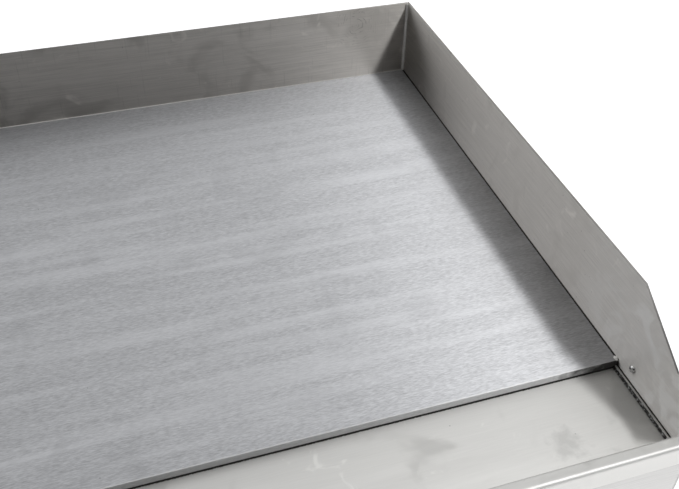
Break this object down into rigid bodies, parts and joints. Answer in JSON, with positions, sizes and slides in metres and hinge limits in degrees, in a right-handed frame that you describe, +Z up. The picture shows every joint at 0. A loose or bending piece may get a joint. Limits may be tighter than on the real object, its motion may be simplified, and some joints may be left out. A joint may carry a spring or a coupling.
{
  "type": "flat top griddle",
  "caption": "Countertop electric flat top griddle: ground steel plate in a three-sided splash guard, front grease trough, pull-out drawer and rotary thermostat knobs.",
  "frame": {"origin": "centre of the footprint, at the level of the surface that the feet stand on", "axes": "+X to the right seen from the front, -Y to the front where the cook stands, +Z up"},
  "size_m": [0.73, 0.523, 0.231],
  "materials": {
    "ground_plate": "ground along its width, fine dashed scratches, unseasoned",
    "splash_steel": "satin stainless sheet with a fine brush along its length",
    "trough_steel": "smooth satin stainless sheet",
    "casing_steel": "brushed stainless casing sheet",
    "drawer_steel": "plain satin stainless pan",
    "zinc_steel": "galvanised or zinc-plated steel, dull",
    "black_plastic": "moulded black phenolic, half gloss",
    "foot_rubber": "moulded black rubber, matt",
    "green_lens": "translucent green lens in a bright bezel",
    "amber_lens": "translucent amber lens in a bright bezel",
    "element_sheath": "oxidised dark green-grey alloy sheath",
    "insulation": "off-white ceramic fibre and steatite",
    "copper_tube": "drawn copper tube",
    "wire_insulation": "braided glass-fibre sleeve"
  },
  "bodies": {
    "casing": {"back_splash": "splash_steel", "base_pan": "zinc_steel", "cable_gland": "black_plastic", "control_panel": "casing_steel", "drain_spout": "trough_steel", "earth_stud": "zinc_steel", "front_left_foot": "foot_rubber", "front_right_foot": "foot_rubber", "front_trough": "trough_steel", "gland_nut": "black_plastic", "griddle_plate": "ground_plate", "heat_shield": "zinc_steel", "insulation_board": "insulation", "left_capillary": "copper_tube", "left_clamp_bar_1": "zinc_steel", "left_clamp_bar_2": "zinc_steel", "left_drawer_runner": "zinc_steel", "left_element_wire": "wire_insulation", "left_heating_element": "element_sheath", "left_heating_lamp": "amber_lens", "left_plate_rail": "zinc_steel", "left_power_lamp": "green_lens", "left_return_wire": "wire_insulation", "left_sensor_bulb": "copper_tube", "left_side_panel": "casing_steel", "left_splash": "splash_steel", "left_splash_rivet": "zinc_steel", "left_supply_wire": "wire_insulation", "left_thermostat": "zinc_steel", "rear_left_foot": "foot_rubber", "rear_panel": "casing_steel", "rear_plate_rail": "zinc_steel", "rear_right_foot": "foot_rubber", "right_capillary": "copper_tube", "right_clamp_bar_1": "zinc_steel", "right_clamp_bar_2": "zinc_steel", "right_drawer_runner": "zinc_steel", "right_element_wire": "wire_insulation", "right_heating_element": "element_sheath", "right_heating_lamp": "amber_lens", "right_plate_rail": "zinc_steel", "right_power_lamp": "green_lens", "right_return_wire": "wire_insulation", "right_sensor_bulb": "copper_tube", "right_side_panel": "casing_steel", "right_splash": "splash_steel", "right_splash_rivet": "zinc_steel", "right_supply_wire": "wire_insulation", "right_thermostat": "zinc_steel", "terminal_block": "insulation"},
    "left_knob": {"left_knob": "black_plastic", "left_thermostat_shaft": "zinc_steel"},
    "right_knob": {"right_knob": "black_plastic", "right_thermostat_shaft": "zinc_steel"},
    "drawer": {"drawer_tray": "drawer_steel", "drawer_front": "casing_steel", "drawer_handle": "casing_steel"}
  },
  "joints": [
    {"name": "left_knob_turn", "type": "hinge", "parent": "casing", "child": "left_knob", "pos_m": [-0.25, -0.234, 0.09], "axis": [0, 1, 0], "range_deg": [0, 270]},
    {"name": "right_knob_turn", "type": "hinge", "parent": "casing", "child": "right_knob", "pos_m": [0.25, -0.234, 0.09], "axis": [0, 1, 0], "range_deg": [0, 270]},
    {"name": "drawer_slide", "type": "slide", "parent": "casing", "child": "drawer", "axis": [0, -1, 0], "range_m": [0, 0.13]}
  ]
}
